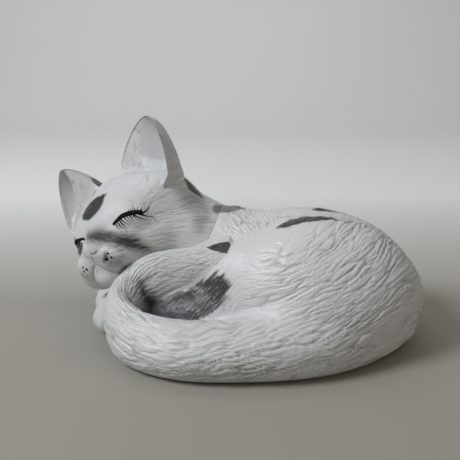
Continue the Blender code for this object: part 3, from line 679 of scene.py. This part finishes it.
def make_ear(name, root, splay, facing, bowl):
    """A cupped shell: crescent sections from the root to the rounded tip. The bowl in its front has a crisp
    outer edge, slopes up softly to a furry inner rim, and ends in a lip above the root."""
    rows, around = 170, 230
    outer = np.sign(root[0])
    splay, pitch, turn = np.radians([splay, EAR_PITCH, facing])
    axis = unit([np.tan(splay), np.tan(pitch), 1])
    front = vec(np.sin(turn), np.cos(turn), 0)
    front = unit(front - axis * (front @ axis))
    across = np.cross(front, axis)
    height = np.linspace(-EAR_ROOT_DEPTH / EAR_HEIGHT, 0.995, rows)[:, None]
    share = np.clip(height, 0, 1)
    sunk = np.clip((EAR_FLARE - height * EAR_HEIGHT) / (EAR_FLARE + EAR_ROOT_DEPTH), 0, 1)
    angle = np.linspace(0, TAU, around, endpoint=False)[None, :]
    half = EAR_WIDTH / 2 * (1 - share ** 1.6) ** 0.64 * (1 - EAR_ROOT_TAPER * sunk)
    cup = EAR_CUP * (1 - share) ** 0.48 * (1 - EAR_ROOT_TAPER * sunk)
    wall = EAR_WALL * (1 - 0.5 * share) * np.minimum(1, half / 6)
    place = np.cos(angle) + 0 * height
    round_ = np.abs(np.sin(angle)) ** 0.6
    lateral = place * outer
    rim = bowl[0] - bowl[1] * share ** 1.2
    slant = np.clip(2 * (lateral - rim) / (0.95 - rim) - 1, -1, 1)
    lip = ease(0.15, bowl[2], height + 0.12 * lateral)
    full = cup * (1 - place ** 2)
    deep = np.minimum(bowl[3] * cup * (1 - slant) ** 0.7 * (1 + slant) ** 2 * lip, full)
    shallow = 0.16 * full
    hollow = np.minimum((deep + shallow + np.hypot(deep - shallow, 3.0)) / 2, full + 0.4)
    inside = ease(-0.5, 3.5, deep - shallow)
    ahead = np.sin(angle) > 0
    y = np.where(ahead, wall / 2 * round_ - hollow, -wall / 2 * round_ - full)
    x = half * place

    def put(x, y, z):
        return from_head(vec(*root) + x[..., None] * across + y[..., None] * front + z[..., None] * axis)

    rings = put(x, y, height * EAR_HEIGHT + 0 * angle)
    rings = swell(rings, outward(rings, rings.mean((0, 1))), head_field, 5)
    ends = put(vec(0, 0), vec(-EAR_CUP, 0), vec(-EAR_ROOT_DEPTH, EAR_HEIGHT))
    hair = (height * EAR_HEIGHT + 0 * angle, np.where(ahead, x * (1 - 0.9 * inside), 3 * x - y))
    furry = 1 - np.where(ahead, inside, 0)
    carved = locks("ear", hair[0], hair[1] + 0.312 * hair[0])
    normal = outward(rings, rings.mean((0, 1)))
    thin = np.minimum(1, wall / 3) * ease(1, 0.9, np.abs(lateral))
    rings = carve(rings, normal, 0.55 * furry * thin, carved)
    # Painted shade: grey in the grooves on the back of the ear
    painted_back_shade = np.where(ahead, 0, 0.35 * ease(0, 0.25, height) * ease(1, 0.5, carved))
    patch = np.maximum(painted(rings, name, 0.0), painted_back_shade)
    crest = 1 - furry * (1 - np.clip(carved, 0, 1))
    return add_mesh(name + "_casting", rings, ends[0], ends[1], hair, {"patch": patch, "crest": crest})


def make_paw(name, place):
    """A smooth paw: dome of the wrist, forearm and toes."""
    rings, middle = dome_rings(lambda p: paw_field(p, place), place[:2], 150, 80, 200, 0.3)
    hair = (rings[..., 0], rings[..., 1])
    return add_mesh(name + "_casting", stand(rings), middle, rings[-1].mean(0), hair,
                    {"patch": 0 * rings[..., 0], "crest": 1 + 0 * rings[..., 0]})


def make_felt():
    """The felt's outline, from its solid, with a softly rounded edge."""
    points = np.array([v.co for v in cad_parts["felt_pad"].data.vertices]) / MM
    low, high = points[:, 2].min(), points[:, 2].max()
    turn = np.linspace(0, TAU, 360, endpoint=False)
    bearing = np.arctan2(points[:, 1], points[:, 0])
    order = np.argsort(bearing)
    reached = np.interp(turn, bearing[order], np.linalg.norm(points[order, :2], axis=1), period=TAU)
    fuzz = 0.12 * ripple(turn * 60, turn * 0, 41)
    profile = [(0.90, low), (1.0, low), (1.0, (low + high) / 2), (1.0, high), (0.90, high)]
    rings = np.stack([np.column_stack([(reached * share - 0.3 + fuzz) * np.cos(turn),
                                       (reached * share - 0.3 + fuzz) * np.sin(turn), np.full(360, z)])
                      for share, z in profile])
    return add_mesh("felt_sheet", rings, vec(0, 0, low), vec(0, 0, high))


def on_head(points):
    """Points of the head's frame moved along their rays to the sculpted surface."""
    return reach(vec(*HEAD_CENTRE), unit(points) @ HEAD_AXES, head_field)


def stroke_object(path, widths):
    """A painted line with a little body: a flat oval section carried along a path on the head."""
    normal = unit(path - vec(*HEAD_CENTRE))
    side = unit(np.cross(unit(np.gradient(path, axis=0)), normal))
    angle = np.linspace(0, TAU, 8, endpoint=False)[None, :, None]
    half = np.asarray(widths)[:, None, None] / 2
    thick = np.maximum(0.45 * half, 0.1)
    rings = path[:, None] + half * np.cos(angle) * side[:, None] + thick * np.sin(angle) * normal[:, None]
    return add_mesh("line", rings, path[0], path[-1])


def join(name, pieces):
    """One object from several."""
    with bpy.context.temp_override(active_object=pieces[0], selected_editable_objects=pieces):
        bpy.ops.object.join()
    pieces[0].name = name
    return pieces[0]


def make_eye(side, sign, shift):
    """A closed eye: a lid line that is thickest past its middle, and lashes that sag along their length."""
    line = curve(LID[side], 50)
    share = np.linspace(0, 1, 50)
    thick = 1.5 + 1.6 * np.sin(np.pi * (0.08 + 0.72 * share)) ** 0.8
    parts = [stroke_object(on_head(line), LID_FULLNESS[side] * thick)]
    along = np.linspace(0, 1, 10)[:, None]
    for row in LASHES:
        start, end = (vec(*row[i:i + 3]) * vec(sign, 1, 1) + vec(*shift) for i in (0, 3))
        path = start + along * (end - start)
        path = path - vec(0, 0, LASH_SAG * np.linalg.norm(end - start)) * np.sin(np.pi * along)
        parts.append(stroke_object(on_head(path), row[6] * (1 - LASH_TAPER * along[:, 0])))
    return join(side + "_eye_paint", parts)


def make_spots():
    """Whisker spots: small low domes of paint on the pads, a circle swept from pole to pole."""
    parts = []
    for x, y, z, radius in WHISKER_SPOTS:
        centre = on_head([(x, y, z)])[0]
        normal = unit(centre - vec(*HEAD_CENTRE))
        side = unit(np.cross(normal, vec(0, 0, 1)))
        over = np.cross(normal, side)
        polar = np.linspace(0.15, 1, 6)[:, None, None] * np.pi * 0.9
        turn = np.linspace(0, TAU, 18, endpoint=False)[None, :, None]
        disc = np.cos(turn) * side + np.sin(turn) * over
        rise = 0.35 * radius * normal
        rings = centre + radius * np.sin(polar) * disc + np.cos(polar) * rise
        parts.append(add_mesh("spot", rings, centre + rise, centre - rise))
    return join("whisker_spots", parts)


def linear(text):
    """Linear colour from an sRGB hex text."""
    srgb = [int(text[i:i + 2], 16) / 255 for i in (1, 3, 5)]
    return [c / 12.92 if c <= 0.04045 else ((c + 0.055) / 1.055) ** 2.4 for c in srgb] + [1.0]


def add_node(tree, kind, inputs=None, **settings):
    """Add a node with its settings; each input takes a value or a link from a socket."""
    made = tree.nodes.new(kind)
    for key, value in settings.items():
        setattr(made, key, value)
    for key, value in (inputs or {}).items():
        if isinstance(value, bpy.types.NodeSocket):
            tree.links.new(value, made.inputs[key])
        else:
            made.inputs[key].default_value = value
    return made


def new_material(name):
    """A material, its tree and its shader."""
    made = bpy.data.materials.new(name)
    made.use_nodes = True
    return made, made.node_tree, made.node_tree.nodes["Principled BSDF"]


def painted_resin():
    """Satin acrylic paint on cast resin: brushed white, a thin grey wash left in the carving and deepened as
    painted shade in the grooves, and soft grey patches, some of them painted shade; brush streaks follow the
    hair."""
    made, tree, shader = new_material("white_painted_resin")
    hair = add_node(tree, "ShaderNodeUVMap", uv_map="hair").outputs["UV"]
    # The hair map is in centimetres: streaks 6 mm long and 0.7 mm wide
    stretched = add_node(tree, "ShaderNodeMapping", {"Vector": hair, "Scale": (1.6, 14.0, 1.0)})
    strand = add_node(tree, "ShaderNodeTexNoise", {"Vector": stretched.outputs["Vector"], "Scale": 1.0,
                                                   "Detail": 3.0}).outputs["Fac"]
    # Worn places about 36 mm across
    place = add_node(tree, "ShaderNodeTexCoord").outputs["Object"]
    cloud = add_node(tree, "ShaderNodeTexNoise", {"Vector": place, "Scale": 28.0,
                                                  "Detail": 2.0}).outputs["Fac"]
    crest = add_node(tree, "ShaderNodeAttribute", attribute_name="crest").outputs["Fac"]
    patch = add_node(tree, "ShaderNodeAttribute", attribute_name="patch").outputs["Fac"]
    # Wash in the grooves, deepened to paint the shade in the carving
    low = add_node(tree, "ShaderNodeMapRange", {"Value": crest, "From Min": 0.7, "From Max": 0.1,
                                                "To Max": 0.5}).outputs[0]
    body = add_node(tree, "ShaderNodeMix", {0: low, 6: linear(WHITE), 7: linear(GROOVE_WASH_AND_SHADE)},
                    data_type="RGBA").outputs[2]
    worn = add_node(tree, "ShaderNodeMapRange", {"Value": cloud, "From Min": 0.35, "From Max": 0.65,
                                                 "To Max": 0.10}).outputs[0]
    body = add_node(tree, "ShaderNodeMix", {0: worn, 6: body, 7: linear(WHITE_WORN)},
                    data_type="RGBA").outputs[2]
    # Grey cover: the patch, broken into streaks where it thins
    streaked = add_node(tree, "ShaderNodeMath", {0: strand, 1: 0.5}, operation="SUBTRACT").outputs[0]
    full = add_node(tree, "ShaderNodeMath", {0: patch, 1: 1.3}, operation="MULTIPLY").outputs[0]
    edge = add_node(tree, "ShaderNodeMath", {0: streaked, 1: 1.7, 2: full},
                    operation="MULTIPLY_ADD").outputs[0]
    cover = add_node(tree, "ShaderNodeMath", {0: edge, 1: patch}, operation="MULTIPLY",
                     use_clamp=True).outputs[0]
    paint = add_node(tree, "ShaderNodeMix", {0: cover, 6: body, 7: linear(GREY)},
                     data_type="RGBA").outputs[2]
    tree.links.new(paint, shader.inputs["Base Color"])
    gloss = add_node(tree, "ShaderNodeMapRange", {"Value": cloud, "To Min": 0.24, "To Max": 0.40}).outputs[0]
    tree.links.new(gloss, shader.inputs["Roughness"])
    bump = add_node(tree, "ShaderNodeBump", {"Height": strand, "Strength": 0.8, "Distance": 0.0005})
    tree.links.new(bump.outputs["Normal"], shader.inputs["Normal"])
    shader.inputs["IOR"].default_value = 1.49
    return made


def line_paint():
    """Black acrylic line paint: a dense dark brushed line with a slight gloss."""
    made, tree, shader = new_material("black_line_paint")
    place = add_node(tree, "ShaderNodeTexCoord").outputs["Object"]
    # Thin places under 2 mm across
    cloud = add_node(tree, "ShaderNodeTexNoise", {"Vector": place, "Scale": 600.0,
                                                  "Detail": 2.0}).outputs["Fac"]
    tone = add_node(tree, "ShaderNodeMix", {0: cloud, 6: linear(LASH), 7: linear(LASH_THIN)},
                    data_type="RGBA").outputs[2]
    tree.links.new(tone, shader.inputs["Base Color"])
    shader.inputs["Roughness"].default_value = 0.7
    shader.inputs["Specular IOR Level"].default_value = 0.08
    return made


def wool_felt():
    """Pressed wool felt: matt fibres half a millimetre apart, with a little sheen."""
    made, tree, shader = new_material("wool_felt")
    place = add_node(tree, "ShaderNodeTexCoord").outputs["Object"]
    fibre = add_node(tree, "ShaderNodeTexNoise", {"Vector": place, "Scale": 2000.0,
                                                  "Detail": 4.0}).outputs["Fac"]
    tone = add_node(tree, "ShaderNodeMix", {0: fibre, 6: linear(FELT), 7: linear(FELT_FIBRE)},
                    data_type="RGBA").outputs[2]
    tree.links.new(tone, shader.inputs["Base Color"])
    bump = add_node(tree, "ShaderNodeBump", {"Height": fibre, "Strength": 0.6, "Distance": 0.0003})
    tree.links.new(bump.outputs["Normal"], shader.inputs["Normal"])
    shader.inputs["Roughness"].default_value = 0.95
    shader.inputs["Sheen Weight"].default_value = 0.3
    return made


def painted_board():
    """Painted board, plain and pale: the floor a little warmer and darker than the wall behind."""
    made, tree, shader = new_material("painted_board")
    place = add_node(tree, "ShaderNodeTexCoord").outputs["Object"]
    depth = add_node(tree, "ShaderNodeSeparateXYZ", {"Vector": place}).outputs["Y"]
    behind = add_node(tree, "ShaderNodeMapRange", {"Value": depth, "From Min": 0.05,
                                                   "From Max": 0.36}).outputs[0]
    cloud = add_node(tree, "ShaderNodeTexNoise", {"Vector": place, "Scale": 6.0,
                                                  "Detail": 3.0}).outputs["Fac"]
    board = add_node(tree, "ShaderNodeMix", {0: cloud, 6: linear(FLOOR), 7: linear(FLOOR_CLOUD)},
                     data_type="RGBA").outputs[2]
    tone = add_node(tree, "ShaderNodeMix", {0: behind, 6: board, 7: linear(WALL)},
                    data_type="RGBA").outputs[2]
    tree.links.new(tone, shader.inputs["Base Color"])
    shader.inputs["Roughness"].default_value = 0.7
    return made


def dress(piece, node, finish):
    """Finish a piece, put it on the part's body and let it stand for its node."""
    piece.data.materials.clear()
    piece.data.materials.append(finish)
    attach(piece, "root")
    if node:
        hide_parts(node)


def add_floor():
    """Floor and back wall in one sweep: flat, a quarter round, then upright."""
    bend = np.linspace(0, np.pi / 2, 24)
    y = np.concatenate([[-3.0], 0.9 + 0.5 * np.sin(bend), [1.4]])
    z = np.concatenate([[0.0], 0.5 - 0.5 * np.cos(bend), [3.0]])
    points = np.stack([np.column_stack([np.full(len(y), x), y, z]) for x in (-3.0, 3.0)]).reshape(-1, 3)
    count = len(y)
    faces = [[i, i + count, i + count + 1, i + 1] for i in range(count - 1)]
    mesh = bpy.data.meshes.new("floor")
    mesh.from_pydata(points.tolist(), [], faces)
    mesh.shade_smooth()
    floor = bpy.data.objects.new("floor", mesh)
    bpy.context.scene.collection.objects.link(floor)
    mesh.materials.append(painted_board())


def add_lamp(name, place, aim, size, power, tint):
    """A square soft lamp at a place, turned towards a point."""
    lamp = bpy.data.lights.new(name, "AREA")
    lamp.energy = power
    lamp.size = size
    lamp.color = linear(tint)[:3]
    made = bpy.data.objects.new(name, lamp)
    bpy.context.scene.collection.objects.link(made)
    made.location = place
    made.rotation_euler = (Vector(aim) - Vector(place)).to_track_quat("-Z", "Y").to_euler()


def light_and_camera():
    """Soft daylight from the upper left, weaker light from overhead and from the right, a lit backdrop, and
    the viewing angle."""
    scene = bpy.context.scene
    add_lamp("key", (-0.90, -0.46, 0.97), (0, 0, 0.04), 0.45, 11.9, DAYLIGHT)
    add_lamp("top", (0.0, -0.1, 1.5), (0, 0, 0.04), 1.2, 1.2, PLAIN_LIGHT)
    add_lamp("fill", (0.8, -0.8, 0.5), (0.05, 0, 0.04), 0.9, 1.0, LAMPLIGHT)
    add_lamp("backdrop", (0, 0.45, 1.0), (0, 1.3, 0.25), 1.2, 3.2, PLAIN_LIGHT)
    world = bpy.data.worlds.new("studio")
    world.use_nodes = True
    world.node_tree.nodes["Background"].inputs["Color"].default_value = linear(ROOM)
    world.node_tree.nodes["Background"].inputs["Strength"].default_value = 0.215
    scene.world = world
    camera = bpy.data.objects.new("camera", bpy.data.cameras.new("camera"))
    scene.collection.objects.link(camera)
    camera.location = (-0.0204, -0.370, 0.181)
    camera.rotation_euler = (np.radians(73), 0, 0)
    camera.data.sensor_width = 36
    camera.data.lens = 18 / (230 / 632)
    scene.camera = camera
    scene.view_settings.view_transform = "Standard"


coat = painted_resin()
lines = line_paint()
dress(make_torso(), "torso", coat)
dress(make_haunch(), "haunch", coat)
dress(make_tail(), "tail", coat)
dress(make_head(), "head", coat)
for name, place in EAR_PLACES.items():
    dress(make_ear(name, *place), name, coat)
for name, place in PAW_PLACES.items():
    dress(make_paw(name, place), name, coat)
dress(make_felt(), "felt_pad", wool_felt())
dress(make_eye("left", 1, (0, 0, 0)), None, lines)
dress(make_eye("right", -1, FAR_LASH_SHIFT), None, lines)
dress(make_spots(), None, lines)
add_floor()
light_and_camera()
